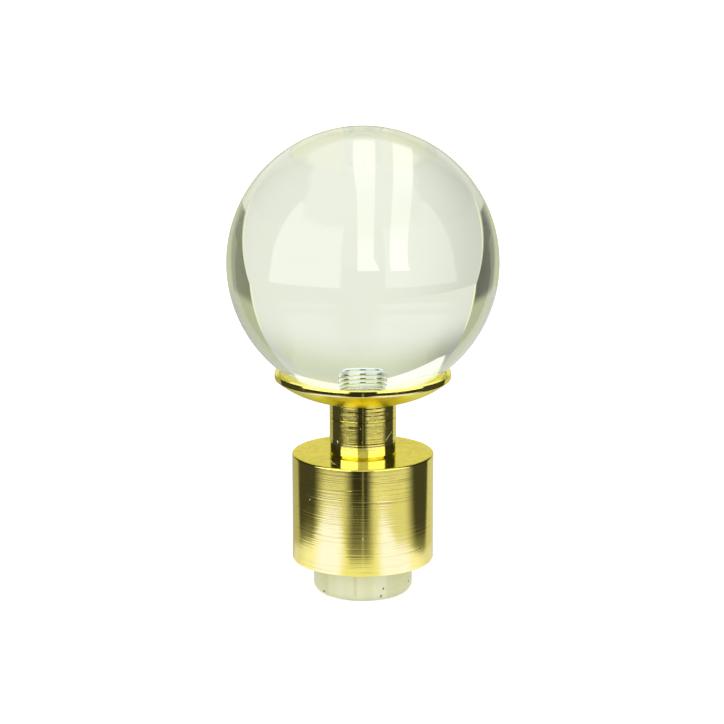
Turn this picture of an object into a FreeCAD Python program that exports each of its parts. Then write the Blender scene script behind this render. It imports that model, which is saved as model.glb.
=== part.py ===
import FreeCAD, Part
import math
import os

# Curtain pole finial: a clear ball in a brass dish, on a turned neck and a collar that
# slips over the end of the pole. A plastic plug inside the collar pushes into the pole's
# bore, and one screw from below ties every piece together.
# Millimetres, +Z up, origin on the axis at the plug's foot.

# The pole that the finial closes
pole_diameter = 20.0
pole_wall = 0.75
pole_slip = 0.2

# Ball
ball_diameter = 50.0
ball_seat_diameter = 8.0
ball_hole_end_gap = 0.3
ball_rim_gap = 0.5

# Dish: flat floor, one bowl arc, a rim corner and a short upright lip
dish_rim_diameter = 32.7
dish_sheet = 1.0
dish_floor_margin = 0.55
dish_lip_height = 1.0
dish_corner_radius = 0.3
dish_inner_corner_radius = 0.2
dish_lip_round = 0.15

# Neck
neck_diameter = 12.4
neck_length = 10.0
neck_foot_chamfer = 0.4
neck_top_chamfer = 0.15

# Collar
collar_wall = 2.97
collar_height = 20.3
collar_end_wall = 3.0
collar_top_chamfer = 0.35
collar_foot_chamfer = 0.25
collar_mouth_chamfer = 0.5

# Plug
plug_projection = 6.25
plug_wall = 2.5
plug_end_wall = 2.9
plug_lead_in = 1.6
plug_mouth_chamfer = 0.4
plug_top_chamfer = 0.5

# Tie screw and its washer
screw_diameter = 6.0
screw_length = 30.0
screw_tip_chamfer = 0.6
screw_head_diameter = 10.5
screw_head_height = 3.3
screw_head_rim = 0.8
screw_socket_flats = 4.0
screw_socket_depth = 1.9
washer_thickness = 1.6

# Room on the radius, around the screw's shank, its thread and the washer
hole_clearance = 0.2
thread_clearance = 0.05
washer_clearance = 0.75

# Radii that follow from the sizes above
ball_radius = ball_diameter / 2
screw_radius = screw_diameter / 2
screw_hole_radius = screw_radius + hole_clearance
plug_radius = pole_diameter / 2 - pole_wall
plug_hollow_radius = plug_radius - plug_wall
socket_radius = pole_diameter / 2 + pole_slip
collar_radius = socket_radius + collar_wall
dish_floor_radius = ball_seat_diameter / 2 + dish_floor_margin
dish_rim_radius = dish_rim_diameter / 2

# Heights that follow from stacking the pieces, from the plug's foot up
collar_foot_z = plug_projection
collar_top_z = collar_foot_z + collar_height
plug_top_z = collar_top_z - collar_end_wall
plug_web_z = plug_top_z - plug_end_wall
screw_seat_z = plug_web_z - washer_thickness
dish_foot_z = collar_top_z + neck_length
dish_floor_z = dish_foot_z + dish_sheet
ball_centre_z = dish_floor_z + math.sqrt(ball_radius ** 2 - (ball_seat_diameter / 2) ** 2)
rim_reach = dish_rim_radius - dish_sheet
dish_rim_z = ball_centre_z - math.sqrt((ball_radius + ball_rim_gap) ** 2 - rim_reach ** 2)
screw_tip_z = screw_seat_z + screw_length


def at(radius, height):
    return FreeCAD.Vector(radius, 0, height)


def straight(points):
    return [Part.LineSegment(a, b).toShape() for a, b in zip(points, points[1:])]


def arc(start, middle, end):
    return Part.Arc(start, middle, end).toShape()


def turned(edges):
    outline = Part.Face(Part.Wire(edges))
    return outline.revolve(FreeCAD.Vector(0, 0, 0), FreeCAD.Vector(0, 0, 1), 360)


def round_about(centre, radius, angle):
    return centre + at(radius * math.sin(angle), -radius * math.cos(angle))


def swept_round(centre, radius, start, end):
    places = [round_about(centre, radius, angle) for angle in (start, (start + end) / 2, end)]
    return arc(*places)


def glass_ball():
    hole_radius = screw_radius + thread_clearance
    hole_end_z = screw_tip_z + ball_hole_end_gap
    centre = at(0, ball_centre_z)
    seat_edge = math.asin(ball_seat_diameter / 2 / ball_radius)
    outline = straight([
        at(0, ball_centre_z + ball_radius),
        at(0, hole_end_z),
        at(hole_radius, hole_end_z),
        at(hole_radius, dish_floor_z),
        at(ball_seat_diameter / 2, dish_floor_z),
    ])
    outline.append(swept_round(centre, ball_radius, seat_edge, math.pi))
    return turned(outline)


def dish_side(inset, corner_radius):
    # One side of the sheet, from the floor's edge to the lip: the bowl's arc starts level,
    # and the corner is tangent to that arc and to the upright lip
    bowl_reach = dish_rim_radius - dish_floor_radius
    bowl_height = dish_rim_z - dish_lip_height - dish_foot_z
    outer_bowl_radius = (bowl_reach ** 2 + bowl_height ** 2) / (2 * bowl_height)
    bowl = at(dish_floor_radius, dish_foot_z + outer_bowl_radius)
    bowl_radius = outer_bowl_radius - inset
    lip_radius = dish_rim_radius - inset
    turn = math.asin((lip_radius - corner_radius - dish_floor_radius) / (bowl_radius - corner_radius))
    corner = round_about(bowl, bowl_radius - corner_radius, turn)
    side = [
        swept_round(bowl, bowl_radius, 0, turn),
        swept_round(corner, corner_radius, turn, math.pi / 2),
    ]
    return side + straight([at(lip_radius, corner.z), at(lip_radius, dish_rim_z - dish_lip_round)])


def dish():
    outer_round = at(dish_rim_radius - dish_lip_round, dish_rim_z - dish_lip_round)
    inner_round = at(dish_rim_radius - dish_sheet + dish_lip_round, dish_rim_z - dish_lip_round)
    lip = [swept_round(outer_round, dish_lip_round, math.pi / 2, math.pi)]
    lip += straight([at(outer_round.x, dish_rim_z), at(inner_round.x, dish_rim_z)])
    lip.append(swept_round(inner_round, dish_lip_round, math.pi, 1.5 * math.pi))
    floor = straight([
        at(dish_floor_radius, dish_floor_z),
        at(screw_hole_radius, dish_floor_z),
        at(screw_hole_radius, dish_foot_z),
        at(dish_floor_radius, dish_foot_z),
    ])
    outer_side = dish_side(0, dish_corner_radius)
    inner_side = dish_side(dish_sheet, dish_inner_corner_radius)
    return turned(outer_side + lip + inner_side[::-1] + floor)


def neck():
    radius = neck_diameter / 2
    outline = straight([
        at(screw_hole_radius, collar_top_z),
        at(radius - neck_foot_chamfer, collar_top_z),
        at(radius, collar_top_z + neck_foot_chamfer),
        at(radius, dish_foot_z - neck_top_chamfer),
        at(radius - neck_top_chamfer, dish_foot_z),
        at(screw_hole_radius, dish_foot_z),
        at(screw_hole_radius, collar_top_z),
    ])
    return turned(outline)


def collar():
    outline = straight([
        at(socket_radius + collar_mouth_chamfer, collar_foot_z),
        at(collar_radius - collar_foot_chamfer, collar_foot_z),
        at(collar_radius, collar_foot_z + collar_foot_chamfer),
        at(collar_radius, collar_top_z - collar_top_chamfer),
        at(collar_radius - collar_top_chamfer, collar_top_z),
        at(screw_hole_radius, collar_top_z),
        at(screw_hole_radius, plug_top_z),
        at(socket_radius, plug_top_z),
        at(socket_radius, collar_foot_z + collar_mouth_chamfer),
        at(socket_radius + collar_mouth_chamfer, collar_foot_z),
    ])
    return turned(outline)


def plug():
    lead_in_centre = at(plug_radius - plug_lead_in, plug_lead_in)
    outline = straight([
        at(plug_radius, plug_lead_in),
        at(plug_radius, plug_top_z - plug_top_chamfer),
        at(plug_radius - plug_top_chamfer, plug_top_z),
        at(screw_hole_radius, plug_top_z),
        at(screw_hole_radius, plug_web_z),
        at(plug_hollow_radius, plug_web_z),
        at(plug_hollow_radius, plug_mouth_chamfer),
        at(plug_hollow_radius + plug_mouth_chamfer, 0),
        at(plug_radius - plug_lead_in, 0),
    ])
    outline.append(swept_round(lead_in_centre, plug_lead_in, 0, math.pi / 2))
    return turned(outline)


def hexagon_socket(foot_z):
    corner = at(screw_socket_flats / 2 / math.cos(math.pi / 6), foot_z)
    up = FreeCAD.Vector(0, 0, 1)
    corners = [FreeCAD.Rotation(up, 60 * side).multVec(corner) for side in range(7)]
    return Part.Face(Part.makePolygon(corners)).extrude(up * screw_socket_depth)


def tie_screw():
    # Domed head below, with a hexagon socket, and a plain shank where the thread runs
    head_radius = screw_head_diameter / 2
    head_foot_z = screw_seat_z - screw_head_height
    dome_height = screw_head_height - screw_head_rim
    dome_radius = (head_radius ** 2 + dome_height ** 2) / (2 * dome_height)
    dome_centre = at(0, head_foot_z + dome_radius)
    rim_angle = math.asin(head_radius / dome_radius)
    outline = [swept_round(dome_centre, dome_radius, 0, rim_angle)]
    outline += straight([
        at(head_radius, head_foot_z + dome_height),
        at(head_radius, screw_seat_z),
        at(screw_radius, screw_seat_z),
        at(screw_radius, screw_tip_z - screw_tip_chamfer),
        at(screw_radius - screw_tip_chamfer, screw_tip_z),
        at(0, screw_tip_z),
        at(0, head_foot_z),
    ])
    return turned(outline).cut(hexagon_socket(head_foot_z))


def washer():
    radius = plug_hollow_radius - washer_clearance
    outline = straight([
        at(screw_hole_radius, screw_seat_z),
        at(radius, screw_seat_z),
        at(radius, plug_web_z),
        at(screw_hole_radius, plug_web_z),
        at(screw_hole_radius, screw_seat_z),
    ])
    return turned(outline)


os.makedirs("parts", exist_ok=True)
for piece in (glass_ball, dish, neck, collar, plug, tie_screw, washer):
    piece().exportStep("parts/" + piece.__name__ + ".step")
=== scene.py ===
import bpy
import math
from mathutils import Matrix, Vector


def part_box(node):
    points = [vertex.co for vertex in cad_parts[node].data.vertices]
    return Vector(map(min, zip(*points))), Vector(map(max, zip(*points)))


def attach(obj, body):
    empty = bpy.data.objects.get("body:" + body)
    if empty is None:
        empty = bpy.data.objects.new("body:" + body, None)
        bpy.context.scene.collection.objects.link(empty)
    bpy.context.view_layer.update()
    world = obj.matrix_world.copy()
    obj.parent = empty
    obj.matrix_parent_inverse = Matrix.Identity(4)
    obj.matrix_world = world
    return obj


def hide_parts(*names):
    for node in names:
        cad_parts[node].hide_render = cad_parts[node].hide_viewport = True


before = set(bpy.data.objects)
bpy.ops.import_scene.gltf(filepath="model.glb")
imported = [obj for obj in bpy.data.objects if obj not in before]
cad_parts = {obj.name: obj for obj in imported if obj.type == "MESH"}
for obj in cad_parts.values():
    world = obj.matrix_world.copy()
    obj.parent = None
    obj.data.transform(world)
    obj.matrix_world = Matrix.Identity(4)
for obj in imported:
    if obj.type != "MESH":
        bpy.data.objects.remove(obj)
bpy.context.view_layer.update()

mm = 0.001
around = 192  # sides of every turned piece
aroundSmall = 96  # sides of the screw and the washer
threadPitch = 0.7 * mm  # cut and tinted alike
print("frame loaded:", ", ".join(sorted(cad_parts)))


# small helpers for modelling by hand

modelling = dict(slack=0.02 * mm, flat=0.9, middle=0.5 * mm, merge=0.0005 * mm, crease=30, normalWeight=80)


def freshStart():
    if bpy.context.object and bpy.context.object.mode != "OBJECT":
        bpy.ops.object.mode_set(mode="OBJECT")
    bpy.ops.object.select_all(action="DESELECT")


def named(name):
    piece = bpy.context.object
    piece.name = name
    piece.data.name = name
    return piece


def addCylinder(name, radius, lowZ, highZ, sides):
    height = highZ - lowZ
    place = (0, 0, lowZ + height / 2)
    bpy.ops.mesh.primitive_cylinder_add(vertices=sides, radius=radius, depth=height, location=place)
    piece = named(name)
    bpy.ops.object.transform_apply(location=True)
    return piece


def pickNothing(mode):
    bpy.ops.object.mode_set(mode="EDIT")
    bpy.ops.mesh.select_mode(type=mode)
    bpy.ops.mesh.select_all(action="DESELECT")
    bpy.ops.object.mode_set(mode="OBJECT")


def pickVerts(piece, where):  # ends in edit mode, with only those vertices picked
    pickNothing("VERT")
    for vert in piece.data.vertices:
        vert.select = where(vert.co)
    bpy.ops.object.mode_set(mode="EDIT")


def pickFaces(piece, where):
    pickNothing("FACE")
    for face in piece.data.polygons:
        face.select = where(face.center, face.normal)
    bpy.ops.object.mode_set(mode="EDIT")


def radiusOf(co):
    return math.hypot(co.x, co.y)


def near(value, target):
    return abs(value - target) < modelling["slack"]


def onAxis(center):
    return radiusOf(center) < modelling["middle"]


def levelDisc(piece, z, up):  # picks the flat end face at that height
    pickFaces(piece, lambda c, n: near(c.z, z) and n.z * up > modelling["flat"] and onAxis(c))


def joinDiscs(piece):  # bridges the two flat faces on the axis into a bore
    pickFaces(piece, lambda c, n: abs(n.z) > modelling["flat"] and onAxis(c))
    bpy.ops.mesh.bridge_edge_loops()


def insetBy(thickness):
    bpy.ops.mesh.inset(thickness=thickness, use_even_offset=True)


def pullUp(height):
    bpy.ops.mesh.extrude_region_move(TRANSFORM_OT_translate={"value": (0, 0, height)})


def pullRing(radius, z, nextRadius, nextZ):  # extrudes what is picked to another radius and height
    pullUp(nextZ - z)
    grow = nextRadius / radius
    bpy.ops.transform.resize(value=(grow, grow, 1), center_override=(0, 0, nextZ))


def roundRing(piece, radius, z, size, steps):
    pickVerts(piece, lambda co: near(radiusOf(co), radius) and near(co.z, z))
    bpy.ops.mesh.bevel(offset=size, segments=steps, affect="EDGES", profile=0.5)


def boreThrough(piece, radius, bore, lowZ, highZ):
    for z, up in ((lowZ, -1), (highZ, 1)):
        levelDisc(piece, z, up)
        insetBy(radius - bore)
    joinDiscs(piece)


def useModifier(piece, kind, **settings):
    mod = piece.modifiers.new(kind.title(), kind)
    for key, value in settings.items():
        setattr(mod, key, value)
    bpy.ops.object.modifier_apply(modifier=mod.name)


def finishPiece(piece, node, material, crease=modelling["crease"]):
    bpy.ops.object.mode_set(mode="EDIT")
    bpy.ops.mesh.select_mode(type="VERT")
    bpy.ops.mesh.select_all(action="SELECT")
    bpy.ops.mesh.remove_doubles(threshold=modelling["merge"])
    bpy.ops.mesh.normals_make_consistent(inside=False)
    bpy.ops.object.mode_set(mode="OBJECT")
    bpy.ops.object.transform_apply(location=True, rotation=True, scale=True)
    bpy.ops.object.shade_smooth_by_angle(angle=math.radians(crease))
    useModifier(piece, "WEIGHTED_NORMAL", keep_sharp=True, weight=modelling["normalWeight"])
    piece.data.materials.clear()
    piece.data.materials.append(material)
    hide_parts(node)
    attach(piece, "root")
    print("piece", piece.name, "faces", len(piece.data.polygons))


# node helpers

def addNode(tree, kind, **settings):
    node = tree.nodes.new(kind)
    for key, value in settings.items():
        setattr(node, key, value)
    return node


def plugIn(tree, socket, value):
    if hasattr(value, "is_output"):
        tree.links.new(value, socket)
    else:
        socket.default_value = value


def calc(tree, operation, *values):
    node = addNode(tree, "ShaderNodeMath", operation=operation)
    for socket, value in zip(node.inputs, values):
        plugIn(tree, socket, value)
    return node.outputs[0]


def times(tree, first, *others):
    for other in others:
        first = calc(tree, "MULTIPLY", first, other)
    return first


def ramp(tree, value, low, high, first=0.0, last=1.0, kind="SMOOTHSTEP"):  # from one value to the other
    node = addNode(tree, "ShaderNodeMapRange", interpolation_type=kind)
    for socket, given in zip(node.inputs, (value, low, high, first, last)):
        plugIn(tree, socket, given)
    return node.outputs[0]


def fade(tree, value, low, high):
    return ramp(tree, value, low, high, 1.0, 0.0)


def rampAt(tree, value, place, soft, first=0.0, last=1.0):  # a ramp centred on a place
    return ramp(tree, value, place - soft, place + soft, first, last)


def rampPast(tree, value, limit, soft, first=0.0, last=1.0):  # a ramp where a value passes another
    return ramp(tree, calc(tree, "SUBTRACT", value, limit), -soft, soft, first, last)


def window(tree, value, low, high, soft):
    rise = rampPast(tree, value, low, soft / 2)
    fall = rampPast(tree, value, high, soft / 2, 1.0, 0.0)
    return times(tree, rise, fall)


def blend(tree, mask, first, last):  # number by number
    node = addNode(tree, "ShaderNodeMix", data_type="FLOAT")
    plugIn(tree, node.inputs["Factor"], mask)
    plugIn(tree, node.inputs["A"], first)
    plugIn(tree, node.inputs["B"], last)
    return node.outputs["Result"]


def blendColor(tree, mask, first, last):
    node = addNode(tree, "ShaderNodeMix", data_type="RGBA")
    colors = [socket for socket in node.inputs if socket.type == "RGBA"]
    plugIn(tree, node.inputs["Factor"], mask)
    for socket, value in zip(colors, (first, last)):
        plugIn(tree, socket, (*value, 1) if isinstance(value, tuple) else value)
    return next(socket for socket in node.outputs if socket.type == "RGBA")


def noise(tree, vector, scale, detail, roughness):
    node = addNode(tree, "ShaderNodeTexNoise")
    plugIn(tree, node.inputs["Vector"], vector)
    plugIn(tree, node.inputs["Scale"], scale)
    node.inputs["Detail"].default_value = detail
    node.inputs["Roughness"].default_value = roughness
    return node.outputs[0]


def vectorOf(tree, x, y, z):
    node = addNode(tree, "ShaderNodeCombineXYZ")
    for socket, value in zip(node.inputs, (x, y, z)):
        plugIn(tree, socket, value)
    return node.outputs[0]


def partsOf(tree, vector):
    node = addNode(tree, "ShaderNodeSeparateXYZ")
    plugIn(tree, node.inputs[0], vector)
    return node.outputs[0], node.outputs[1], node.outputs[2]


def reachOf(tree, x, y):  # distance from the axis
    return calc(tree, "SQRT", calc(tree, "ADD", calc(tree, "POWER", x, 2.0), calc(tree, "POWER", y, 2.0)))


# effects that several finishes share

def newGroup(name, inputs, outputs):
    group = bpy.data.node_groups.new(name, "ShaderNodeTree")
    for label, kind in inputs.items():
        group.interface.new_socket(label, in_out="INPUT", socket_type=kind)
    for label in outputs:
        group.interface.new_socket(label, in_out="OUTPUT", socket_type="NodeSocketFloat")
    return group, addNode(group, "NodeGroupInput").outputs, addNode(group, "NodeGroupOutput").inputs


def useGroup(tree, group, **values):
    node = addNode(tree, "ShaderNodeGroup", node_tree=group)
    for label, value in values.items():
        plugIn(tree, node.inputs[label], value)
    return node.outputs


toolLine = dict(drift=0.04, breakHeight=0.6, breakSpan=(0.35, 0.65), depthSpan=(0.25, 1.6), middle=0.5)


def makeTurnedLines():  # tool lines that run round the axis, on walls and on flat ends
    inputs = {"Point": "NodeSocketVector", "Across": "NodeSocketFloat", "Along": "NodeSocketFloat"}
    group, given, made = newGroup("turnedLines", inputs, ("Lines",))
    x, y, z = partsOf(group, given["Point"])
    across = times(group, calc(group, "ADD", z, reachOf(group, x, y)), given["Across"])
    alongX = times(group, x, given["Along"])
    alongY = times(group, y, given["Along"])
    straightAt = vectorOf(group, 0.0, times(group, alongY, toolLine["drift"]), across)
    straight = noise(group, straightAt, scale=1.0, detail=1.5, roughness=0.6)
    brokenAt = vectorOf(group, alongX, alongY, times(group, across, toolLine["breakHeight"]))
    broken = noise(group, brokenAt, scale=1.0, detail=2.0, roughness=0.6)
    depth = ramp(group, broken, *toolLine["breakSpan"], *toolLine["depthSpan"])
    swing = times(group, calc(group, "SUBTRACT", straight, toolLine["middle"]), depth)
    group.links.new(calc(group, "ADD", toolLine["middle"], swing), made["Lines"])
    return group


touched = dict(cloudSpan=(0.45, 0.7), finer=5.0)


def makeHandling():  # faint cloudy marks from fingers and cloth
    inputs = {"Point": "NodeSocketVector", "Scale": "NodeSocketFloat"}
    group, given, made = newGroup("handling", inputs, ("Smudge", "Mottle"))
    cloud = noise(group, given["Point"], given["Scale"], detail=4.0, roughness=0.6)
    group.links.new(ramp(group, cloud, *touched["cloudSpan"]), made["Smudge"])
    fineScale = times(group, given["Scale"], touched["finer"])
    group.links.new(noise(group, given["Point"], fineScale, detail=3.0, roughness=0.65), made["Mottle"])
    return group


scratch = dict(softFrom=0.5, tiny=1e-12)  # tiny keeps a mark of no length from dividing by zero


def makeScratch():  # one straight mark between two points
    inputs = {label: "NodeSocketVector" for label in ("Point", "Start", "End")}
    group, given, made = newGroup("scratchMark", {**inputs, "Width": "NodeSocketFloat"}, ("Mark",))

    def vectorCalc(operation, *values, output=0):
        node = addNode(group, "ShaderNodeVectorMath", operation=operation)
        for socket, value in zip(node.inputs, values):
            plugIn(group, socket, value)
        return node.outputs[output]

    run = vectorCalc("SUBTRACT", given["End"], given["Start"])
    fromStart = vectorCalc("SUBTRACT", given["Point"], given["Start"])
    runSquared = calc(group, "ADD", vectorCalc("DOT_PRODUCT", run, run, output="Value"), scratch["tiny"])
    part = calc(group, "DIVIDE", vectorCalc("DOT_PRODUCT", fromStart, run, output="Value"), runSquared)
    part = calc(group, "MAXIMUM", 0.0, calc(group, "MINIMUM", 1.0, part))
    scaled = addNode(group, "ShaderNodeVectorMath", operation="SCALE")
    group.links.new(run, scaled.inputs[0])
    group.links.new(part, scaled.inputs["Scale"])
    away = vectorCalc("LENGTH", vectorCalc("SUBTRACT", fromStart, scaled.outputs[0]), output="Value")
    widths = calc(group, "DIVIDE", away, given["Width"])
    group.links.new(fade(group, widths, scratch["softFrom"], 1.0), made["Mark"])
    return group


turnedLines = makeTurnedLines()
handling = makeHandling()
scratchMark = makeScratch()
print("shared effects ready")


# finishes, with heights from the plug's foot

brassTone = (0.90, 0.79, 0.18)
brassDeep = (0.60, 0.50, 0.04)
brassEdge = (1.0, 0.95, 0.5, 1)
brassBare = (0.95, 0.93, 0.7)  # fresh metal in a mark


def startMaterial(name):
    material = bpy.data.materials.new(name)
    material.use_nodes = True
    tree = material.node_tree
    point = addNode(tree, "ShaderNodeTexCoord").outputs["Object"]
    return material, tree, tree.nodes["Principled BSDF"].inputs, point


def startBrass(name):
    material, tree, sockets, point = startMaterial(name)
    sockets["Metallic"].default_value = 1.0
    sockets["Specular Tint"].default_value = brassEdge
    return material, tree, sockets, point


def pressBump(tree, sockets, height, distance):
    node = addNode(tree, "ShaderNodeBump")
    node.inputs["Distance"].default_value = distance
    plugIn(tree, node.inputs["Height"], height)
    tree.links.new(node.outputs[0], sockets["Normal"])


def grainAround(tree, sockets, amount):  # highlights stretch across the tool lines
    tangent = addNode(tree, "ShaderNodeTangent", direction_type="RADIAL", axis="Z")
    tree.links.new(tangent.outputs[0], sockets["Tangent"])
    sockets["Anisotropic"].default_value = amount
    sockets["Anisotropic Rotation"].default_value = 0.25  # a quarter turn


def surfaceOf(tree, point, look):  # tool lines and handling marks, at the finish's own scales
    lines = useGroup(tree, turnedLines, Point=point, Across=look["across"], Along=look["along"])
    return lines["Lines"], useGroup(tree, handling, Point=point, Scale=look["cloud"])


def smudgeRough(tree, touch, rough, span):  # roughness that follows the cloudy marks
    return calc(tree, "ADD", rough, ramp(tree, touch["Smudge"], 0.0, 1.0, *span))


def marksOn(tree, point, marks):  # start, end and width in millimetres
    total = 0.0
    for start, end, width in marks:
        ends = dict(Start=[v * mm for v in start], End=[v * mm for v in end])
        mark = useGroup(tree, scratchMark, Point=point, Width=width * mm, **ends)["Mark"]
        total = calc(tree, "MAXIMUM", total, mark)
    return total


collarLook = dict(
    across=2500.0, along=140.0, cloud=110.0, bump=0.045 * mm, coat=0.6, grain=0.5,
    side=0.13, top=0.15, smudge=(-0.02, 0.05), markRough=0.2,
    topSpan=(26.25 * mm, 26.5 * mm), topRelief=0.3, topStain=(0.4, 0.7, 0.0, 0.4),
    cutSpan=(13.0 * mm, 21.0 * mm), cutRelief=(0.35, 1.0), wornLines=(0.52, 0.72, 0.0, 0.45),
    marks=[
        ((10.2, 2.5, 26.55), (12.2, 2.5, 26.55), 0.25),
        ((7.4, 7.7, 26.55), (7.6, 7.7, 26.55), 0.45),
        ((-6.3, -4.8, 26.55), (-5.2, -9.0, 26.55), 0.2),
        ((-4.1, -12.5, 19.0), (-4.2, -12.5, 19.1), 0.1),
        ((-9.8, -8.8, 19.7), (-9.7, -8.9, 19.9), 0.1),
        ((10.1, -8.4, 10.4), (10.1, -8.4, 10.6), 0.1),
        ((0.0, -13.17, 13.4), (0.0, -13.17, 13.6), 0.1),
    ])


def makeCollarBrass():
    material, tree, sockets, point = startBrass("brushedBrass")
    lines, touch = surfaceOf(tree, point, collarLook)
    height = partsOf(tree, point)[2]
    top = ramp(tree, height, *collarLook["topSpan"])
    tree.links.new(blend(tree, top, collarLook["coat"], 0.0), sockets["Coat Weight"])
    marks = marksOn(tree, point, collarLook["marks"])
    color = blendColor(tree, ramp(tree, lines, *collarLook["wornLines"]), brassTone, brassDeep)
    stain = times(tree, top, ramp(tree, touch["Mottle"], *collarLook["topStain"]))
    color = blendColor(tree, stain, color, brassDeep)
    tree.links.new(blendColor(tree, marks, color, brassBare), sockets["Base Color"])
    rough = blend(tree, top, collarLook["side"], collarLook["top"])
    rough = smudgeRough(tree, touch, rough, collarLook["smudge"])
    rough = calc(tree, "ADD", rough, times(tree, marks, collarLook["markRough"]))
    tree.links.new(rough, sockets["Roughness"])
    cut = ramp(tree, height, *collarLook["cutSpan"], *collarLook["cutRelief"])
    relief = times(tree, lines, blend(tree, top, cut, collarLook["topRelief"]))
    pressBump(tree, sockets, calc(tree, "ADD", relief, marks), collarLook["bump"])
    grainAround(tree, sockets, collarLook["grain"])
    return material


neckLook = dict(
    across=1500.0, along=110.0, cloud=300.0, bump=0.07 * mm, coat=0.4, grain=0.5,
    rough=0.11, smudge=(-0.04, 0.06), wornLines=(0.48, 0.66, 0.0, 0.8),
    # the pale colour and its span at the neck's foot are a painted highlight
    foot=(0.9, 0.88, 0.62), footSpan=(28.6 * mm, 29.4 * mm),
    tornScale=1300.0, tornHeight=3.0, tornSpan=(0.66, 0.75), tornDepth=0.15,
    marks=[
        ((4.34, -4.43, 29.9), (5.28, -3.25, 31.1), 0.14),
        ((-4.74, -4.0, 29.35), (-4.78, -3.95, 29.45), 0.25),
    ])


def makeNeckBrass():
    material, tree, sockets, point = startBrass("turnedBrass")
    sockets["Coat Weight"].default_value = neckLook["coat"]
    lines, touch = surfaceOf(tree, point, neckLook)
    marks = marksOn(tree, point, neckLook["marks"])
    x, y, z = partsOf(tree, point)
    tornAt = vectorOf(tree, x, y, times(tree, z, neckLook["tornHeight"]))
    torn = noise(tree, tornAt, neckLook["tornScale"], detail=2.0, roughness=0.6)
    color = blendColor(tree, ramp(tree, lines, *neckLook["wornLines"]), brassTone, brassDeep)
    # painted highlight: the lowest part of the neck is paler, as a bright band reflected there
    color = blendColor(tree, fade(tree, z, *neckLook["footSpan"]), color, neckLook["foot"])
    tree.links.new(blendColor(tree, marks, color, brassBare), sockets["Base Color"])
    tree.links.new(smudgeRough(tree, touch, neckLook["rough"], neckLook["smudge"]), sockets["Roughness"])
    pits = times(tree, ramp(tree, torn, *neckLook["tornSpan"]), neckLook["tornDepth"])
    relief = calc(tree, "ADD", lines, pits)
    pressBump(tree, sockets, calc(tree, "ADD", relief, marks), neckLook["bump"])
    grainAround(tree, sockets, neckLook["grain"])
    return material


dishLook = dict(
    across=2200.0, along=40.0, cloud=140.0, bump=0.0015 * mm, rough=0.09, smudge=(-0.03, 0.05),
    below=0.34, belowLitColor=(1.0, 0.93, 0.17), belowSpan=(-0.45, -0.3), stain=(0.5, 0.8, 0.0, 0.3),
    paleHighlight=(1.0, 0.95, 0.5),  # painted highlight, on the corner line and on the lip's top and inside
    cornerSpan=(40.59 * mm, 40.92 * mm), cornerSoft=0.08 * mm, cornerReach=(15.6 * mm, 15.8 * mm),
    insideFrom=41.2 * mm, insideSoft=0.1 * mm, insideReach=(16.27 * mm, 16.31 * mm))


def makeDishBrass():
    material, tree, sockets, point = startBrass("polishedBrass")
    lines, touch = surfaceOf(tree, point, dishLook)
    facingUp = partsOf(tree, addNode(tree, "ShaderNodeTexCoord").outputs["Normal"])[2]
    below = fade(tree, facingUp, *dishLook["belowSpan"])
    # painted light: the downward-facing underside is given a brighter, more saturated brass colour than the
    # rest
    color = blendColor(tree, below, brassTone, dishLook["belowLitColor"])
    x, y, z = partsOf(tree, point)
    reach = reachOf(tree, x, y)
    # painted highlight: a pale band on the outer corner line and on the lip's top and inside
    corner = window(tree, z, *dishLook["cornerSpan"], dishLook["cornerSoft"])
    corner = times(tree, corner, ramp(tree, reach, *dishLook["cornerReach"]))
    inside = rampAt(tree, z, dishLook["insideFrom"], dishLook["insideSoft"])
    inside = times(tree, inside, fade(tree, reach, *dishLook["insideReach"]))
    color = blendColor(tree, calc(tree, "MAXIMUM", corner, inside), color, dishLook["paleHighlight"])
    stain = ramp(tree, touch["Mottle"], *dishLook["stain"])
    tree.links.new(blendColor(tree, stain, color, brassDeep), sockets["Base Color"])
    rough = blend(tree, below, dishLook["rough"], dishLook["below"])
    tree.links.new(smudgeRough(tree, touch, rough, dishLook["smudge"]), sockets["Roughness"])
    pressBump(tree, sockets, lines, dishLook["bump"])
    return material


glassLook = dict(
    tint=(0.945, 0.985, 0.84), smear=(0.93, 0.975, 0.82), ior=1.5, cloud=60.0,
    greasySpan=(66.0 * mm, 76.0 * mm), greasyRough=0.02, smudgeSpan=(0.5, 1.0))


def makeClearGlass():
    material, tree, sockets, point = startMaterial("clearGlass")
    sockets["Transmission Weight"].default_value = 1.0
    sockets["IOR"].default_value = glassLook["ior"]
    smudge = useGroup(tree, handling, Point=point, Scale=glassLook["cloud"])["Smudge"]
    color = blendColor(tree, smudge, glassLook["tint"], glassLook["smear"])
    tree.links.new(color, sockets["Base Color"])
    height = partsOf(tree, point)[2]
    greasy = ramp(tree, height, *glassLook["greasySpan"], 0.0, glassLook["greasyRough"])
    tree.links.new(times(tree, ramp(tree, smudge, *glassLook["smudgeSpan"]), greasy), sockets["Roughness"])
    return material


plugLook = dict(
    color=(0.94, 0.96, 0.71), cloudy=(0.89, 0.905, 0.61), seamAndShade=(0.70, 0.69, 0.36), speck=(0.12, 0.12, 0.05),
    specular=0.18, rough=0.22, smudge=(-0.05, 0.08), bump=0.01 * mm, cloud=160.0,
    flowScale=420.0, flowHeight=0.12, flowSpan=(0.4, 0.7),
    # painted shade: the plug is darker towards its left and right sides, at fixed x
    sides=0.45, shadeLeftSpan=(-6.9 * mm, -5.9 * mm), shadeRightSpan=(4.0 * mm, 4.8 * mm),
    seamDepth=0.4, seam=[((-1.4, -9.15, 1.4), (-1.4, -9.15, 6.6), 0.4)],
    specks=[
        ((3.78, -8.44, 2.5), (3.78, -8.44, 2.6), 0.2),
        ((3.32, -8.5, 0.9), (3.36, -8.55, 1.3), 0.18),
        ((8.51, -3.6, 2.4), (8.51, -3.6, 2.55), 0.22),
        ((-7.3, -5.5, 1.1), (-7.1, -5.8, 1.2), 0.2),
    ])


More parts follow.
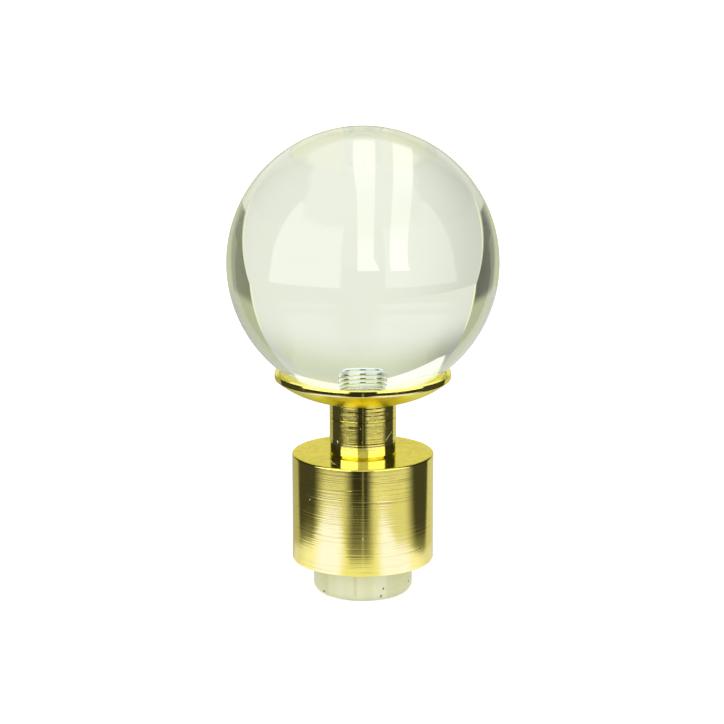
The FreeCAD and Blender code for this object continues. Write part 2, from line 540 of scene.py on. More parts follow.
def makeMilkyPlastic():
    material, tree, sockets, point = startMaterial("milkyPlastic")
    sockets["Specular IOR Level"].default_value = plugLook["specular"]
    touch = useGroup(tree, handling, Point=point, Scale=plugLook["cloud"])
    x, y, z = partsOf(tree, point)
    flowAt = vectorOf(tree, x, y, times(tree, z, plugLook["flowHeight"]))
    flow = noise(tree, flowAt, plugLook["flowScale"], detail=2.0, roughness=0.5)
    color = blendColor(tree, ramp(tree, flow, *plugLook["flowSpan"]), plugLook["color"], plugLook["cloudy"])
    seam = times(tree, marksOn(tree, point, plugLook["seam"]), plugLook["seamDepth"])
    color = blendColor(tree, seam, color, plugLook["seamAndShade"])
    # painted shade: the plug's left and right sides, at fixed x, are blended towards the darker colour that
    # the seam also uses
    leftShade = fade(tree, x, *plugLook["shadeLeftSpan"])
    sides = calc(tree, "MAXIMUM", leftShade, ramp(tree, x, *plugLook["shadeRightSpan"]))
    color = blendColor(tree, times(tree, sides, plugLook["sides"]), color, plugLook["seamAndShade"])
    specks = marksOn(tree, point, plugLook["specks"])
    tree.links.new(blendColor(tree, specks, color, plugLook["speck"]), sockets["Base Color"])
    tree.links.new(smudgeRough(tree, touch, plugLook["rough"], plugLook["smudge"]), sockets["Roughness"])
    pressBump(tree, sockets, touch["Mottle"], plugLook["bump"])
    return material


steelLook = dict(
    color=(0.97, 0.99, 1.0), dull=(0.90, 0.94, 0.96), rough=0.26, smudge=(0.0, 0.12), cloud=260.0,
    across=2500.0, along=90.0, bump=0.004 * mm,
    # root colour and its spans: painted shade in the thread's roots
    root=(0.60, 0.70, 0.84), rootReach=(2.6 * mm, 2.93 * mm), rootSoft=0.08 * mm,
    rootFrom=(19.5 * mm, 20.0 * mm),
    # painted dark reflections on the thread: their colour, columns and spans
    darkReflection=(0.04, 0.09, 0.12), reflectionColumns=8.0, reflectionShift=8.5, reflectionSpan=(0.33, 0.67), reflectionSoft=0.1,
    reflectionTurn=(0.72, 1.2), reflectionFrom=(46.0 * mm, 46.4 * mm))


def makeZincSteel():
    material, tree, sockets, point = startMaterial("zincSteel")
    sockets["Metallic"].default_value = 1.0
    lines, touch = surfaceOf(tree, point, steelLook)
    x, y, z = partsOf(tree, point)
    # painted shade: the thread's roots, high on the shank, get a darker bluish colour
    root = window(tree, reachOf(tree, x, y), *steelLook["rootReach"], steelLook["rootSoft"])
    root = times(tree, root, ramp(tree, z, *steelLook["rootFrom"]))
    # painted dark reflections: dark flecks, in columns round the axis and once on each turn of the thread
    part = calc(tree, "DIVIDE", calc(tree, "ARCTAN2", y, x), 2 * math.pi)
    column = calc(tree, "ADD", times(tree, part, steelLook["reflectionColumns"]), steelLook["reflectionShift"])
    darkReflection = window(tree, calc(tree, "FRACT", column), *steelLook["reflectionSpan"], steelLook["reflectionSoft"])
    turns = calc(tree, "DIVIDE", z, threadPitch)
    turnOfThread = calc(tree, "FRACT", calc(tree, "SUBTRACT", turns, calc(tree, "SUBTRACT", part, 1.0)))
    onTurn = window(tree, turnOfThread, *steelLook["reflectionTurn"], steelLook["reflectionSoft"])
    darkReflection = times(tree, darkReflection, onTurn, ramp(tree, z, *steelLook["reflectionFrom"]))
    color = blendColor(tree, touch["Smudge"], steelLook["color"], steelLook["dull"])
    color = blendColor(tree, root, color, steelLook["root"])
    tree.links.new(blendColor(tree, darkReflection, color, steelLook["darkReflection"]), sockets["Base Color"])
    tree.links.new(smudgeRough(tree, touch, steelLook["rough"], steelLook["smudge"]), sockets["Roughness"])
    pressBump(tree, sockets, lines, steelLook["bump"])
    return material


clearGlass = makeClearGlass()
polishedBrass = makeDishBrass()
turnedBrass = makeNeckBrass()
brushedBrass = makeCollarBrass()
milkyPlastic = makeMilkyPlastic()
zincSteel = makeZincSteel()
print("finishes ready")


# sizes read from the frame

ballLow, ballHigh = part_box("glass_ball")
dishLow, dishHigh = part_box("dish")
neckLow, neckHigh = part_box("neck")
collarLow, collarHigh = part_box("collar")
plugLow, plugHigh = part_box("plug")
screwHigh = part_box("tie_screw")[1]
washerLow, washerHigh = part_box("washer")
screwHole = 3.2 * mm  # radius of the plain holes that the screw passes


# glass ball: a sphere cut flat at its seat, with a plain blind hole just inside the screw's surface

ball = dict(seatRadius=4.0 * mm, holeRadius=2.2 * mm, endGap=-0.8 * mm, rings=96)


def makeBall():
    freshStart()
    radius = ballHigh.x
    seatZ = ballLow.z
    holeEnd = screwHigh.z + ball["endGap"]
    bpy.ops.mesh.primitive_uv_sphere_add(segments=around, ring_count=ball["rings"], radius=radius,
                                         location=(0, 0, 0))
    piece = named("glassBall")
    bpy.ops.object.mode_set(mode="EDIT")
    bpy.ops.mesh.select_all(action="SELECT")
    bpy.ops.transform.translate(value=(0, 0, ballHigh.z - radius))
    bpy.ops.mesh.bisect(plane_co=(0, 0, seatZ), plane_no=(0, 0, 1), use_fill=True, clear_inner=True)
    pickVerts(piece, lambda co: near(co.z, seatZ))
    bpy.ops.mesh.mark_sharp()
    levelDisc(piece, seatZ, -1)
    insetBy(ball["seatRadius"] - ball["holeRadius"])
    pullUp(holeEnd - seatZ)
    finishPiece(piece, "glass_ball", clearGlass)


makeBall()


# dish: one spun sheet, drawn as its outer side and given its thickness

dish = dict(floorRadius=4.55 * mm, lipHeight=1.06 * mm, corner=0.2 * mm, sheet=1.0 * mm, lipRound=0.1 * mm,
            bowlSteps=30, cornerSteps=5, lipSteps=4, crease=35)


def dishSide(rim, footZ):  # radius and height of each ring, from the floor's edge to the lip
    corner = dish["corner"]
    floorRadius = dish["floorRadius"]
    reach = rim - floorRadius
    bowlHeight = dishHigh.z - dish["lipHeight"] - footZ
    bowlRadius = (reach ** 2 + bowlHeight ** 2) / (2 * bowlHeight)
    turn = math.asin((reach - corner) / (bowlRadius - corner))
    cornerR = floorRadius + (bowlRadius - corner) * math.sin(turn)
    cornerZ = footZ + bowlRadius - (bowlRadius - corner) * math.cos(turn)
    rings = [(floorRadius, footZ)]
    for i in range(1, dish["bowlSteps"] + 1):
        a = turn * i / dish["bowlSteps"]
        rings.append((floorRadius + bowlRadius * math.sin(a), footZ + bowlRadius * (1 - math.cos(a))))
    for i in range(1, dish["cornerSteps"] + 1):
        a = turn + (math.pi / 2 - turn) * i / dish["cornerSteps"]
        rings.append((cornerR + corner * math.sin(a), cornerZ - corner * math.cos(a)))
    return rings + [(rim, dishHigh.z)]


def dishOffset(piece):  # thickness goes inwards and upwards, away from the outer side
    lowest = min(piece.data.polygons, key=lambda face: face.center.z)
    return -1.0 if lowest.normal.z < 0 else 1.0


def makeDish():
    freshStart()
    rim = dishHigh.x
    radius, z = screwHole, dishLow.z
    bpy.ops.mesh.primitive_circle_add(vertices=around, radius=radius, location=(0, 0, z))
    piece = named("brassDish")
    bpy.ops.object.transform_apply(location=True)
    bpy.ops.object.mode_set(mode="EDIT")
    bpy.ops.mesh.select_all(action="SELECT")
    for nextRadius, nextZ in dishSide(rim, dishLow.z):
        pullRing(radius, z, nextRadius, nextZ)
        radius, z = nextRadius, nextZ
    bpy.ops.mesh.select_all(action="SELECT")
    bpy.ops.mesh.normals_make_consistent(inside=False)
    bpy.ops.object.mode_set(mode="OBJECT")
    useModifier(piece, "SOLIDIFY", thickness=dish["sheet"], offset=dishOffset(piece), use_even_offset=True,
                use_rim=True)
    for edgeRadius in (rim, rim - dish["sheet"]):
        roundRing(piece, edgeRadius, dishHigh.z, dish["lipRound"], dish["lipSteps"])
    finishPiece(piece, "dish", polishedBrass, dish["crease"])


makeDish()


# neck: turned spacer with a plain bore

neck = dict(footChamfer=0.4 * mm, footSteps=1, topChamfer=0.15 * mm, topSteps=2)


def makeNeck():
    freshStart()
    radius = neckHigh.x
    piece = addCylinder("brassNeck", radius, neckLow.z, neckHigh.z, around)
    boreThrough(piece, radius, screwHole, neckLow.z, neckHigh.z)
    roundRing(piece, radius, neckLow.z, neck["footChamfer"], neck["footSteps"])
    roundRing(piece, radius, neckHigh.z, neck["topChamfer"], neck["topSteps"])
    finishPiece(piece, "neck", turnedBrass)


makeNeck()


# the collar and the plug are both cups, open below, with a hole for the screw in the end wall

def makeCup(name, radius, hollow, lowZ, highZ, webZ):
    freshStart()
    piece = addCylinder(name, radius, lowZ, highZ, around)
    levelDisc(piece, lowZ, -1)
    insetBy(radius - hollow)
    pullUp(webZ - lowZ)
    insetBy(hollow - screwHole)
    levelDisc(piece, highZ, 1)
    insetBy(radius - screwHole)
    joinDiscs(piece)
    return piece


# collar: turned cap with a socket for the pole

collar = dict(socketRadius=10.2 * mm, topChamfer=0.35 * mm, topSteps=3, footChamfer=0.25 * mm, footSteps=2,
              mouthChamfer=0.5 * mm, mouthSteps=1)


def makeCollar():
    radius = collarHigh.x
    socket = collar["socketRadius"]
    piece = makeCup("brassCollar", radius, socket, collarLow.z, collarHigh.z, plugHigh.z)
    roundRing(piece, radius, collarHigh.z, collar["topChamfer"], collar["topSteps"])
    roundRing(piece, radius, collarLow.z, collar["footChamfer"], collar["footSteps"])
    roundRing(piece, socket, collarLow.z, collar["mouthChamfer"], collar["mouthSteps"])
    finishPiece(piece, "collar", brushedBrass)


makeCollar()


# plug: moulded cup with a rounded lead-in

plug = dict(wall=2.5 * mm, endWall=2.9 * mm, leadIn=1.6 * mm, leadSteps=8, mouthChamfer=0.4 * mm,
            mouthSteps=2, topChamfer=0.5 * mm, topSteps=1)


def makePlug():
    radius = plugHigh.x
    hollow = radius - plug["wall"]
    piece = makeCup("plasticPlug", radius, hollow, plugLow.z, plugHigh.z, plugHigh.z - plug["endWall"])
    roundRing(piece, radius, plugLow.z, plug["leadIn"], plug["leadSteps"])
    roundRing(piece, hollow, plugLow.z, plug["mouthChamfer"], plug["mouthSteps"])
    roundRing(piece, radius, plugHigh.z, plug["topChamfer"], plug["topSteps"])
    finishPiece(piece, "plug", milkyPlastic)


makePlug()


# tie screw: threaded shank, domed head with a hexagon socket

screw = dict(radius=3.0 * mm, tipChamfer=0.6 * mm, threadDepth=0.11 * mm, threadCuts=260, threadFade=0.3,
             threadPast=0.001 * mm, longEdge=5 * mm, headRadius=5.25 * mm, headRim=0.8 * mm,
             headHeight=3.3 * mm, domeSteps=10, socketFlats=4.0 * mm, socketDepth=1.9 * mm)


def ringTheShank(piece):  # many rings along the wall, for the thread to move
    pickNothing("EDGE")
    for edge in piece.data.edges:
        a, b = (piece.data.vertices[v].co for v in edge.vertices)
        edge.select = abs(a.z - b.z) > screw["longEdge"]
    bpy.ops.object.mode_set(mode="EDIT")
    bpy.ops.mesh.subdivide_edgering(number_cuts=screw["threadCuts"], interpolation="LINEAR")
    bpy.ops.object.mode_set(mode="OBJECT")


def cutThread(piece, low, high):  # a right-hand helix of V grooves on the plain wall
    fadeLength = screw["threadFade"] * threadPitch
    for vert in piece.data.vertices:
        if near(radiusOf(vert.co), screw["radius"]) and low < vert.co.z < high:
            turn = math.atan2(vert.co.y, vert.co.x) / (2 * math.pi)
            phase = (vert.co.z / threadPitch - turn) % 1.0
            groove = max(0.0, (0.5 - abs(2 * phase - 1)) / 0.5)  # flat crests, narrow roots
            ends = min(1.0, (vert.co.z - low) / fadeLength, (high - vert.co.z) / fadeLength)
            scale = 1 - screw["threadDepth"] * groove * ends / screw["radius"]
            vert.co.x *= scale
            vert.co.y *= scale


def pullHead(piece, seatZ):
    headRadius = screw["headRadius"]
    domeHeight = screw["headHeight"] - screw["headRim"]
    domeRadius = (headRadius ** 2 + domeHeight ** 2) / (2 * domeHeight)
    rimAngle = math.asin(headRadius / domeRadius)
    headFoot = seatZ - screw["headHeight"]
    levelDisc(piece, seatZ, -1)
    pullRing(screw["radius"], seatZ, headRadius, seatZ)
    pullUp(-screw["headRim"])
    radius, z = headRadius, seatZ - screw["headRim"]
    for i in range(screw["domeSteps"] - 1, 1, -1):
        a = rimAngle * i / screw["domeSteps"]
        nextRadius, nextZ = domeRadius * math.sin(a), headFoot + domeRadius * (1 - math.cos(a))
        pullRing(radius, z, nextRadius, nextZ)
        radius, z = nextRadius, nextZ
    bpy.ops.object.mode_set(mode="OBJECT")
    return headFoot


def cutSocket(piece, headFoot):
    cornerRadius = screw["socketFlats"] / 2 / math.cos(math.pi / 6)
    bpy.ops.mesh.primitive_cylinder_add(vertices=6, radius=cornerRadius, depth=2 * screw["socketDepth"],
                                        location=(0, 0, headFoot))
    key = named("socketCutter")
    freshStart()
    piece.select_set(True)
    bpy.context.view_layer.objects.active = piece
    useModifier(piece, "BOOLEAN", operation="DIFFERENCE", object=key, solver="EXACT")
    bpy.data.objects.remove(key)


def makeScrew():
    freshStart()
    seatZ = washerLow.z
    tipZ = screwHigh.z
    piece = addCylinder("tieScrew", screw["radius"], seatZ, tipZ, aroundSmall)
    roundRing(piece, screw["radius"], tipZ, screw["tipChamfer"], 1)
    ringTheShank(piece)
    cutThread(piece, seatZ, tipZ - screw["tipChamfer"] + screw["threadPast"])
    headFoot = pullHead(piece, seatZ)
    cutSocket(piece, headFoot)
    finishPiece(piece, "tie_screw", zincSteel)


makeScrew()


# washer: flat ring with broken edges

washer = dict(edge=0.15 * mm, edgeSteps=2)


def makeWasher():
    freshStart()
    radius = washerHigh.x
    piece = addCylinder("flatWasher", radius, washerLow.z, washerHigh.z, aroundSmall)
    boreThrough(piece, radius, screwHole, washerLow.z, washerHigh.z)
    for z in (washerLow.z, washerHigh.z):
        roundRing(piece, radius, z, washer["edge"], washer["edgeSteps"])
    finishPiece(piece, "washer", zincSteel)


makeWasher()


# stage: white paper, and a studio of soft boxes, dark gaps and a white sweep
# turns and heights are in degrees, and a turn of 0 is the camera's side

white = (1.0, 1.0, 1.0)
studio = dict(
    fill=(1.1, 0.8), fillSpan=(20.0, 100.0), dark=0.03, olive=(0.95, 1.0, 0.62), line=1.15,
    lineColor=(1.0, 0.92, 0.6), box=(2.3, 1.7), boxSides=(-1.0, 1.0), boxSpan=(18.0, 82.0), boxSoft=4.0,
    sweepDim=0.5, cardLevel=(0.08, 0.2), cardSpan=(111.0, 119.0), wall=0.5, wallSpan=(80.0, 98.0),
    leftDim=(-40.0, -5.0))


def turnOf(tree, x, y):  # degrees away from the camera's side
    return calc(tree, "DEGREES", calc(tree, "ARCTAN2", x, times(tree, y, -1.0)))


def rearTurn(tree, turn, aside):  # degrees away from straight behind
    return times(tree, calc(tree, "SUBTRACT", 180.0, aside), calc(tree, "SIGN", turn))


def without(tree, mask):
    return calc(tree, "SUBTRACT", 1.0, mask)


def frontBands(tree, turn, aside):  # soft boxes either side of the camera, dark between and beside them
    boxLevel = ramp(tree, turn, *studio["boxSides"], *studio["box"])
    onBox = window(tree, aside, *studio["boxSpan"], studio["boxSoft"])
    return blend(tree, onBox, studio["dark"], boxLevel)


metalSky = dict(
    boxTop=(68.0, 46.0), boxTopSpan=(0.0, 88.0), boxTopSoft=2.0,
    middle=0.65, middleSpan=(16.0, 20.0), middleFrom=(5.0, 10.0),
    behindFrom=146.0, behindSoft=4.0, sweep=0.8, sweepTurn=(-25.0, 25.0), sweepTurnSoft=12.0,
    sweepHeight=(7.0, 22.0), sweepHeightSoft=6.0, oliveTo=(38.0, 46.0),
    overhead=1.25, overheadFrom=(38.0, 56.0), overheadSpan=(60.0, 95.0), overheadRear=42.0,
    overheadRearSpan=(125.0, 150.0), overheadSoft=4.0)


def metalSkyLook(tree, turn, aside, rear, height, behind):  # what the brass sees above the floor
    boxTop = ramp(tree, aside, *metalSky["boxTopSpan"], *metalSky["boxTop"])
    lit = rampPast(tree, height, boxTop, metalSky["boxTopSoft"], 1.0, 0.0)
    front = blend(tree, lit, studio["dark"], frontBands(tree, turn, aside))
    middle = fade(tree, aside, *metalSky["middleSpan"])
    middle = times(tree, middle, ramp(tree, height, *metalSky["middleFrom"]))
    front = blend(tree, middle, front, metalSky["middle"])
    bright = window(tree, rear, *metalSky["sweepTurn"], metalSky["sweepTurnSoft"])
    bright = times(tree, bright, window(tree, height, *metalSky["sweepHeight"], metalSky["sweepHeightSoft"]))
    metal = blend(tree, behind, front, blend(tree, bright, studio["sweepDim"], metalSky["sweep"]))
    overhead = ramp(tree, aside, *metalSky["overheadSpan"], *metalSky["overheadFrom"])
    toRear = ramp(tree, aside, *metalSky["overheadRearSpan"])
    overhead = blend(tree, toRear, overhead, metalSky["overheadRear"])
    above = rampPast(tree, height, overhead, metalSky["overheadSoft"])
    metal = blend(tree, above, metal, metalSky["overhead"])
    dim = times(tree, behind, without(tree, bright), fade(tree, height, *metalSky["oliveTo"]))
    return metal, dim


glassSky = dict(
    sweep=(0.88, 0.64), sweepSpan=(8.0, 33.0), sweepLeft=(0.95, 0.58), sweepLeftSpan=(10.0, 27.0),
    sideTo=137.2, sideSoft=0.6, front=1.0, wallHigh=0.7, wallSpan=(4.0, 14.0),
    cardSides=(-20.0, 20.0), cardHigh=0.5, cardSpan=(4.0, 9.0),
    panel=1.15, panelEdge=(28.3, 41.0), panelEdgeTurn=(-32.0, 8.0), panelSoft=0.5,
    panelSpan=(-0.53, 0.47), panelSpanSoft=0.03, panelAbove=(56.0, 58.0),
    lineSpan=(137.6, 138.4), lineSoft=0.6, lineTo=(14.0, 20.0),
    besideSpan=(3.0, 8.0), beside=(1.0, 0.9), tintSpan=(12.0, 28.0), tint=(0.0, 0.55))


def glassSkyLook(tree, direction, turn, aside, rear, height, behind):  # what shows through the ball
    sweep = ramp(tree, height, *glassSky["sweepSpan"], *glassSky["sweep"])
    sweepLeft = ramp(tree, height, *glassSky["sweepLeftSpan"], *glassSky["sweepLeft"])
    sweep = times(tree, sweep, ramp(tree, rear, *studio["leftDim"], sweepLeft, 1.0))
    beforeSweep = rampAt(tree, aside, glassSky["sideTo"], glassSky["sideSoft"], 1.0, 0.0)
    card = times(tree, ramp(tree, aside, *studio["cardSpan"]), beforeSweep)
    cardLevel = ramp(tree, turn, *glassSky["cardSides"], *studio["cardLevel"])
    cardLevel = ramp(tree, height, *glassSky["cardSpan"], cardLevel, glassSky["cardHigh"])
    onWall = ramp(tree, aside, *studio["wallSpan"])
    wallTop = glassSky["wallHigh"] * studio["wall"]
    wall = ramp(tree, height, *glassSky["wallSpan"], studio["wall"], wallTop)
    side = blend(tree, card, blend(tree, onWall, glassSky["front"], wall), cardLevel)
    glass = blend(tree, rampAt(tree, aside, glassSky["sideTo"], glassSky["sideSoft"]), side, sweep)
    # a white panel with a slanting lower edge
    edge = ramp(tree, rear, *glassSky["panelEdgeTurn"], *glassSky["panelEdge"], kind="LINEAR")
    acrossView = partsOf(tree, direction)[0]
    panel = rampPast(tree, height, edge, glassSky["panelSoft"])
    panel = times(tree, panel, window(tree, acrossView, *glassSky["panelSpan"], glassSky["panelSpanSoft"]))
    panel = calc(tree, "MAXIMUM", panel, ramp(tree, height, *glassSky["panelAbove"]))
    glass = blend(tree, panel, glass, glassSky["panel"])
    line = window(tree, aside, *glassSky["lineSpan"], glassSky["lineSoft"])
    line = times(tree, line, fade(tree, height, *glassSky["lineTo"]))
    glass = blend(tree, line, glass, studio["line"])
    beside = ramp(tree, height, *glassSky["besideSpan"], *glassSky["beside"])
    beside = times(tree, onWall, beforeSweep, beside)
    tinted = ramp(tree, height, *glassSky["tintSpan"], *glassSky["tint"])
    tinted = times(tree, tinted, behind, without(tree, panel))
    color = blendColor(tree, calc(tree, "MAXIMUM", beside, tinted), white, studio["olive"])
    return glass, blendColor(tree, line, color, studio["lineColor"])


def makeWorld():
    world = bpy.data.worlds.new("studioWorld")
    bpy.context.scene.world = world
    world.use_nodes = True
    tree = world.node_tree
    background = tree.nodes["Background"].inputs
    direction = addNode(tree, "ShaderNodeTexCoord").outputs["Generated"]
    x, y, z = partsOf(tree, direction)
    turn = turnOf(tree, x, y)
    height = calc(tree, "DEGREES", calc(tree, "ARCSINE", z))
    aside = calc(tree, "ABSOLUTE", turn)
    rear = rearTurn(tree, turn, aside)
    behind = rampAt(tree, aside, metalSky["behindFrom"], metalSky["behindSoft"])
    metal, dim = metalSkyLook(tree, turn, aside, rear, height, behind)
    glass, glassColor = glassSkyLook(tree, direction, turn, aside, rear, height, behind)
    rays = addNode(tree, "ShaderNodeLightPath").outputs
    fill = ramp(tree, aside, *studio["fillSpan"], *studio["fill"])
    level = blend(tree, rays["Is Glossy Ray"], fill, metal)
    level = blend(tree, rays["Is Transmission Ray"], level, glass)
    tree.links.new(blend(tree, rays["Is Camera Ray"], level, 1.0), background["Strength"])
    color = blendColor(tree, times(tree, dim, rays["Is Glossy Ray"]), white, studio["olive"])
    color = blendColor(tree, rays["Is Transmission Ray"], color, glassColor)
    tree.links.new(color, background["Color"])
    print("world ready")


makeWorld()


# floor: white paper that lies in a wedge which opens behind the object

paper = dict(half=6.0, camera=0.6, color=0.9, rough=0.9, wedgeFront=24.0 * mm, wedgeSoft=6.0 * mm)

# lit paper near the object, an edge that reaches out to either side of the camera, and dimmer fields past it
metalFloor = dict(
    wedge=0.95, middle=1.0 * mm, frontReach=42.0 * mm, edgeSpan=(0.93, 1.06),
    leftEdge=[((16.0, 42.0), 77.0 * mm), ((50.0, 86.0), 48.0 * mm), ((80.0, 125.0), 38.5 * mm)],
    rightEdge=[((12.0, 28.0), 76.0 * mm), ((24.0, 56.0), 50.0 * mm), ((54.0, 100.0), 38.0 * mm)],
    leftField=((12.0, 32.0), (56.0, 82.0)), rightField=((4.0, 20.0), (63.0, 88.0)),
    field=(0.8, 0.2), fieldSpan=(104 * mm, 121 * mm), fieldRight=1.3, fieldRightSpan=(86 * mm, 98 * mm),
    fieldFar=0.6, fieldFarRight=1.7, fieldFarSpan=(124 * mm, 140 * mm), fieldEnd=(153 * mm, 165 * mm),
    gap=0.25, gapSpan=(44 * mm, 84 * mm), glowSpan=(1.0, 1.45), glowEnd=2, glowTurn=(40.0, 70.0),
    slit=0.22, slitSpan=(0.7, 1.5), boxPast=0.35, boxPastSoft=0.03,
    behindLeft=(0.5, 0.45), behindSpan=(45 * mm, 110 * mm), behindRight=0.68, behindMiddle=5.0 * mm,
    farSpan=(0.22, 0.28), near=1.2, nearFront=1.0, nearColor=(1.0, 1.04, 2.7), nearTo=(120.0, 140.0),
    coolShift=3.0, coolSpan=(18.0, 34.0), coolSide=0.2, coolReach=(18 * mm, 26 * mm),
    sideLevel=1.12, sideSpan=(56.0, 84.0), lateLevel=0.85, lateSpan=(80.0, 112.0), inGlass=0.8)


def edgeReach(tree, turn, steps):  # how far the lit paper reaches, from the front round to one side
    reach = metalFloor["frontReach"]
    for span, distance in steps:
        reach = blend(tree, ramp(tree, turn, *span), reach, distance)
    return reach


def fieldMask(tree, turn, spans):
    return times(tree, ramp(tree, turn, *spans[0]), fade(tree, turn, *spans[1]))


def metalFloorLook(tree, x, y, turn, aside, reach, singular):  # what the brass sees of the floor
    opening = calc(tree, "SUBTRACT", y, times(tree, calc(tree, "ABSOLUTE", x), metalFloor["wedge"]))
    opening = rampAt(tree, opening, -paper["wedgeFront"], paper["wedgeSoft"])
    away = times(tree, turn, -1.0)
    onRight = rampAt(tree, x, 0.0, metalFloor["middle"])
    leftEdge = edgeReach(tree, away, metalFloor["leftEdge"])
    rightEdge = edgeReach(tree, turn, metalFloor["rightEdge"])
    ratio = calc(tree, "DIVIDE", reach, blend(tree, onRight, leftEdge, rightEdge))
    leftField = fieldMask(tree, away, metalFloor["leftField"])
    rightField = fieldMask(tree, turn, metalFloor["rightField"])
    field = ramp(tree, reach, *metalFloor["fieldSpan"], *metalFloor["field"])
    brighter = ramp(tree, reach, *metalFloor["fieldRightSpan"], 1.0, metalFloor["fieldRight"])
    field = times(tree, field, blend(tree, onRight, 1.0, brighter))
    farRight = metalFloor["fieldFarRight"] * metalFloor["fieldFar"]
    fieldFar = blend(tree, onRight, metalFloor["fieldFar"], farRight)
    field = blend(tree, ramp(tree, reach, *metalFloor["fieldFarSpan"]), field, fieldFar)
    field = blend(tree, ramp(tree, reach, *metalFloor["fieldEnd"]), field, studio["dark"])
    gap = ramp(tree, reach, *metalFloor["gapSpan"], metalFloor["gap"], studio["dark"])
    glowEnd = metalFloor["glowEnd"] * studio["dark"]
    sideGlow = ramp(tree, ratio, *metalFloor["glowSpan"], metalFloor["gap"], glowEnd)
    gap = blend(tree, ramp(tree, aside, *metalFloor["glowTurn"]), gap, sideGlow)
    gap = calc(tree, "ADD", gap, ramp(tree, aside, *metalFloor["slitSpan"], metalFloor["slit"], 0.0))
    metal = blend(tree, calc(tree, "MAXIMUM", leftField, rightField), gap, field)
    pastBoxes = rampAt(tree, reach, metalFloor["boxPast"], metalFloor["boxPastSoft"])
    metal = blend(tree, pastBoxes, metal, frontBands(tree, turn, aside))
    behind = ramp(tree, reach, *metalFloor["behindSpan"], *metalFloor["behindLeft"])
    behindMiddle = rampAt(tree, x, 0.0, metalFloor["behindMiddle"])
    behind = blend(tree, behindMiddle, behind, metalFloor["behindRight"])
    far = ramp(tree, reach, *metalFloor["farSpan"])
    metal = blend(tree, opening, metal, blend(tree, far, behind, studio["sweepDim"]))
    # the lit paper itself, cooler to either side of the camera
    shifted = calc(tree, "ABSOLUTE", calc(tree, "ADD", turn, metalFloor["coolShift"]))
    cool = ramp(tree, shifted, *metalFloor["coolSpan"])
    onSide = ramp(tree, aside, *metalFloor["sideSpan"])
    nearLevel = blend(tree, cool, metalFloor["nearFront"], metalFloor["near"])
    nearLevel = blend(tree, onSide, nearLevel, metalFloor["sideLevel"])
    nearLevel = blend(tree, ramp(tree, aside, *metalFloor["lateSpan"]), nearLevel, metalFloor["lateLevel"])
    nearLevel = blend(tree, singular, nearLevel, metalFloor["inGlass"])
    nearMask = fade(tree, ratio, *metalFloor["edgeSpan"])
    nearMask = times(tree, nearMask, fade(tree, aside, *metalFloor["nearTo"]))
    metal = blend(tree, nearMask, metal, nearLevel)
    cool = times(tree, nearMask, blend(tree, onSide, cool, metalFloor["coolSide"]))
    cool = times(tree, cool, blend(tree, singular, ramp(tree, reach, *metalFloor["coolReach"]), 0.0))
    color = blendColor(tree, times(tree, far, opening), white, studio["olive"])
    return metal, blendColor(tree, cool, color, metalFloor["nearColor"])


# the wedge, a table under the object, and two brighter strips behind
glassFloor = dict(
    wedge=1.08, tableHalf=105.0 * mm, tableFront=-80.0 * mm, tableSoft=4.0 * mm,
    level=0.88, leftLevel=0.8, far=0.74, cardSides=(-20 * mm, 20 * mm),
    strip=1.06, stripWidth=4.6 * mm, stripGrow=0.0095, stripCurve=0.075,
    rightLow=(-0.9, -1.3), rightLowSpan=(300 * mm, 400 * mm), rightHigh=(0.75, 0.45),
    rightHighSpan=(80 * mm, 150 * mm), rightSoft=0.14, leftStrip=(-3.95, -2.28), leftSoft=0.2,
    stripSpan=(60 * mm, 425 * mm), stripSoft=8.0 * mm, stripDip=0.6, dipFrom=(90 * mm, 140 * mm),
    dipTo=(190 * mm, 260 * mm), linePast=(-18.0 * mm, -13.0 * mm), lineSoft=4.0 * mm,
    lineFrom=(90 * mm, 130 * mm))


def stripMask(tree, x, y):
    curve = times(tree, calc(tree, "POWER", y, 2.0), glassFloor["stripCurve"])
    spread = calc(tree, "ADD", times(tree, y, glassFloor["stripGrow"]), curve)
    column = calc(tree, "DIVIDE", x, calc(tree, "ADD", glassFloor["stripWidth"], spread))
    low = blend(tree, ramp(tree, y, *glassFloor["rightLowSpan"]), *glassFloor["rightLow"])
    high = ramp(tree, y, *glassFloor["rightHighSpan"], *glassFloor["rightHigh"])
    rightStrip = window(tree, column, low, high, glassFloor["rightSoft"])
    leftStrip = window(tree, column, *glassFloor["leftStrip"], glassFloor["leftSoft"])
    along = window(tree, y, *glassFloor["stripSpan"], glassFloor["stripSoft"])
    dipStart = ramp(tree, y, *glassFloor["dipFrom"], 1.0, glassFloor["stripDip"])
    dipEnd = ramp(tree, y, *glassFloor["dipTo"], glassFloor["stripDip"], 1.0)
    dip = calc(tree, "MAXIMUM", dipStart, dipEnd)
    return times(tree, calc(tree, "MAXIMUM", rightStrip, leftStrip), along, dip)


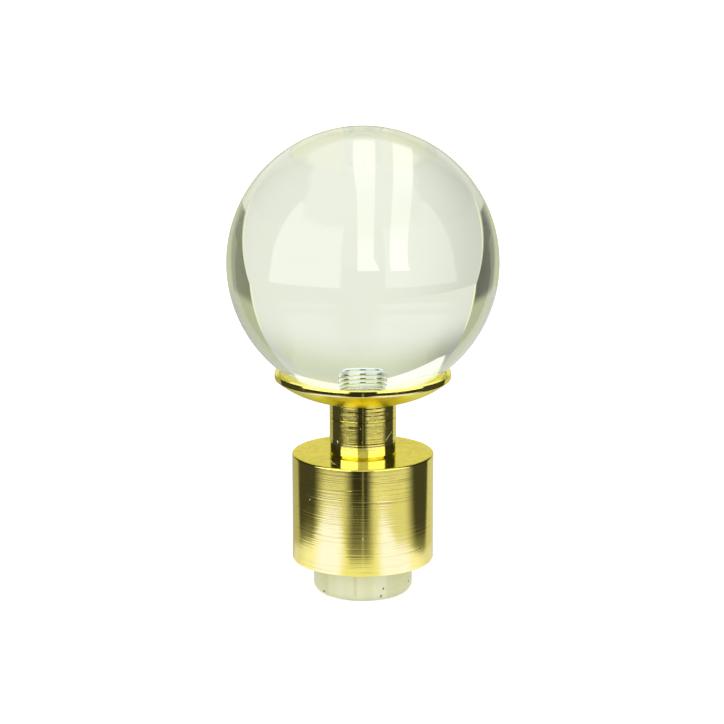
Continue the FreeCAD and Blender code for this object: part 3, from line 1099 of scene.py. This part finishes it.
def glassFloorLook(tree, x, y, turn, aside, reach):  # what shows of the floor through the ball
    sideways = calc(tree, "ABSOLUTE", x)
    past = calc(tree, "SUBTRACT", y, times(tree, sideways, glassFloor["wedge"]))
    wedge = rampAt(tree, past, -paper["wedgeFront"], paper["wedgeSoft"])
    table = rampAt(tree, sideways, glassFloor["tableHalf"], glassFloor["tableSoft"], 1.0, 0.0)
    table = times(tree, table, rampAt(tree, y, glassFloor["tableFront"], glassFloor["tableSoft"]))
    onPaper = calc(tree, "MAXIMUM", wedge, table)
    rear = rearTurn(tree, turn, aside)
    leftLevel = glassFloor["leftLevel"] * glassFloor["level"]
    lit = ramp(tree, rear, *studio["leftDim"], leftLevel, glassFloor["level"])
    cardLevel = ramp(tree, x, *glassFloor["cardSides"], *studio["cardLevel"])
    wall = ramp(tree, aside, *studio["wallSpan"], glassFloor["far"], studio["wall"])
    outside = blend(tree, ramp(tree, aside, *studio["cardSpan"]), wall, cardLevel)
    glass = blend(tree, onPaper, outside, lit)
    glass = blend(tree, stripMask(tree, x, y), glass, glassFloor["strip"])
    line = window(tree, past, *glassFloor["linePast"], glassFloor["lineSoft"])
    line = times(tree, line, ramp(tree, reach, *glassFloor["lineFrom"]))
    glass = blend(tree, line, glass, studio["line"])
    pale = calc(tree, "MAXIMUM", onPaper, fade(tree, aside, *studio["wallSpan"]))
    color = blendColor(tree, pale, studio["olive"], white)
    return glass, blendColor(tree, line, color, studio["lineColor"])


def makeFloor():
    freshStart()
    bpy.ops.mesh.primitive_plane_add(size=2 * paper["half"], location=(0, 0, 0))
    floor = named("whitePaper")
    material, tree, sockets, point = startMaterial("whitePaper")
    sockets["Base Color"].default_value = (paper["color"],) * 3 + (1,)
    sockets["Roughness"].default_value = paper["rough"]
    sockets["Specular IOR Level"].default_value = 0.0
    sockets["Emission Color"].default_value = (*white, 1)
    rays = addNode(tree, "ShaderNodeLightPath").outputs
    tree.links.new(times(tree, rays["Is Camera Ray"], paper["camera"]), sockets["Emission Strength"])
    x, y = partsOf(tree, point)[:2]
    turn = turnOf(tree, x, y)
    aside = calc(tree, "ABSOLUTE", turn)
    reach = reachOf(tree, x, y)
    metal = metalFloorLook(tree, x, y, turn, aside, reach, rays["Is Singular Ray"])
    glass = glassFloorLook(tree, x, y, turn, aside, reach)
    mixed = tree.nodes["Principled BSDF"].outputs[0]
    for flag, (level, color) in (("Is Glossy Ray", metal), ("Is Transmission Ray", glass)):
        glow = addNode(tree, "ShaderNodeEmission")
        tree.links.new(color, glow.inputs["Color"])
        tree.links.new(level, glow.inputs["Strength"])
        mix = addNode(tree, "ShaderNodeMixShader")
        tree.links.new(rays[flag], mix.inputs[0])
        tree.links.new(mixed, mix.inputs[1])
        tree.links.new(glow.outputs[0], mix.inputs[2])
        mixed = mix.outputs[0]
    tree.links.new(mixed, tree.nodes["Material Output"].inputs["Surface"])
    floor.data.materials.append(material)
    print("floor ready")


makeFloor()


# camera, at the photo's viewing angle

shot = dict(distance=423.7 * mm, height=138.95 * mm, side=-0.165 * mm, pitch=12.68, focalPixels=2352.0,
            imagePixels=724, sensor=36.0, clipStart=0.01)

freshStart()
bpy.ops.object.camera_add(location=(shot["side"], -shot["distance"], shot["height"]),
                          rotation=(math.radians(90 - shot["pitch"]), 0, 0))
camera = bpy.context.object
camera.name = "photoCamera"
camera.data.sensor_width = shot["sensor"]
camera.data.lens = shot["focalPixels"] / shot["imagePixels"] * shot["sensor"]
camera.data.clip_start = shot["clipStart"]
bpy.context.scene.camera = camera
bpy.context.scene.cycles.glossy_bounces = 10  # brass facing brass
bpy.context.scene.view_settings.view_transform = "Standard"
print("camera lens", round(camera.data.lens, 2))
